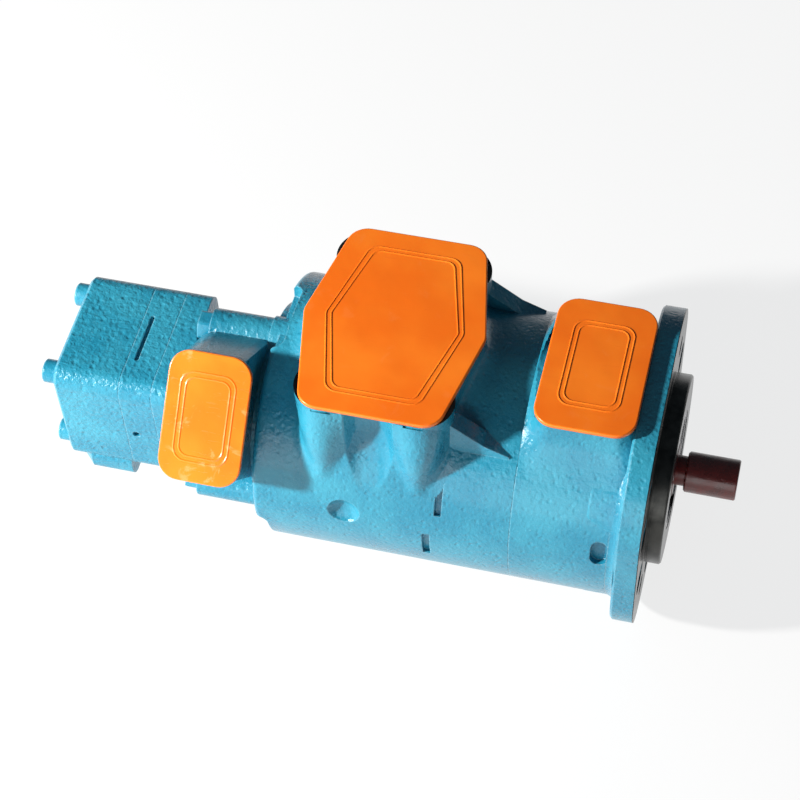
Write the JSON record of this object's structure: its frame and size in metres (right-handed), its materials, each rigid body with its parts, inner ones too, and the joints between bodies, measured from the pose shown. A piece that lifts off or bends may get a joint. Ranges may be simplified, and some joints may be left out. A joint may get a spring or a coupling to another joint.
{
  "type": "hydraulic vane pump",
  "caption": "Hydraulic vane pump with a flanged front, stacked cast housings, a square end stage, a splined shaft and flat lift-off covers on its ports.",
  "frame": {"origin": "centre of the mounting flange's front face, on the shaft axis, where the pilot meets the flange", "axes": "+X along the shaft, out of the pump; +Z the way the inlet and the front outlet face"},
  "size_m": [0.4641, 0.2029, 0.2029],
  "materials": {
    "blue_paint": "gloss enamel over a sand-cast skin",
    "black_screw": "black oxide",
    "hard_steel": "hardened, ground",
    "ground_steel": "fine ground",
    "bronze": "machined bearing bronze",
    "spring_steel": "blued spring steel",
    "rubber": "matt",
    "bearing_steel": "polished",
    "brass_cage": "satin",
    "orange_cover": "gloss moulded",
    "maroon_cap": "gloss moulded"
  },
  "bodies": {
    "housing": {"front_housing": "blue_paint", "inlet_housing": "blue_paint", "rear_housing": "blue_paint", "rear_cam_ring": "blue_paint", "end_cover": "blue_paint", "rear_housing_bolts": "blue_paint", "end_cover_bolts": "blue_paint", "end_outlet_plug": "blue_paint", "front_housing_screws": "black_screw", "front_cam_ring": "hard_steel", "middle_cam_ring": "hard_steel", "front_inlet_plate": "bronze", "front_pressure_plate": "bronze", "middle_inlet_plate": "bronze", "middle_pressure_plate": "bronze", "rear_inlet_plate": "bronze", "front_plate_spring": "spring_steel", "middle_plate_spring": "spring_steel", "front_seam_seal": "rubber", "rear_seam_seal": "rubber", "shaft_seal": "rubber", "rear_bushing": "bronze", "end_bushing": "bronze", "bearing_retaining_ring": "spring_steel", "bearing_outer_race": "bearing_steel"},
    "shaft": {"drive_shaft": "ground_steel", "shaft_snap_ring": "spring_steel", "bearing_inner_race": "bearing_steel", "front_rotor": "hard_steel", "middle_rotor": "hard_steel", "rear_rotor": "hard_steel", "front_vanes": "ground_steel", "middle_vanes": "ground_steel", "rear_vanes": "ground_steel"},
    "ball_set": {"bearing_balls": "bearing_steel", "bearing_cage": "brass_cage"},
    "inlet_cover": {"inlet_cover": "orange_cover"},
    "front_outlet_cover": {"front_outlet_cover": "orange_cover"},
    "rear_outlet_cover": {"rear_outlet_cover": "orange_cover"},
    "shaft_cap": {"shaft_cap": "maroon_cap"}
  },
  "joints": [
    {"name": "shaft_spin", "type": "hinge", "parent": "housing", "child": "shaft", "pos_m": [0, 0, 0], "axis": [1, 0, 0], "continuous": true},
    {"name": "ball_set_spin", "type": "hinge", "parent": "housing", "child": "ball_set", "pos_m": [0, 0, 0], "axis": [1, 0, 0], "continuous": true},
    {"name": "inlet_cover_lift", "type": "slide", "parent": "housing", "child": "inlet_cover", "axis": [0, 0, 1], "range_m": [0, 0.08]},
    {"name": "front_outlet_cover_lift", "type": "slide", "parent": "housing", "child": "front_outlet_cover", "axis": [0, 0, 1], "range_m": [0, 0.08]},
    {"name": "rear_outlet_cover_lift", "type": "slide", "parent": "housing", "child": "rear_outlet_cover", "axis": [0, -0.7071, 0.7071], "range_m": [0, 0.08]},
    {"name": "shaft_cap_pull", "type": "slide", "parent": "shaft", "child": "shaft_cap", "axis": [1, 0, 0], "range_m": [0, 0.06]}
  ],
  "couplings": [
    {"joint": "ball_set_spin", "follows": "shaft_spin", "ratio": 0.3817}
  ]
}
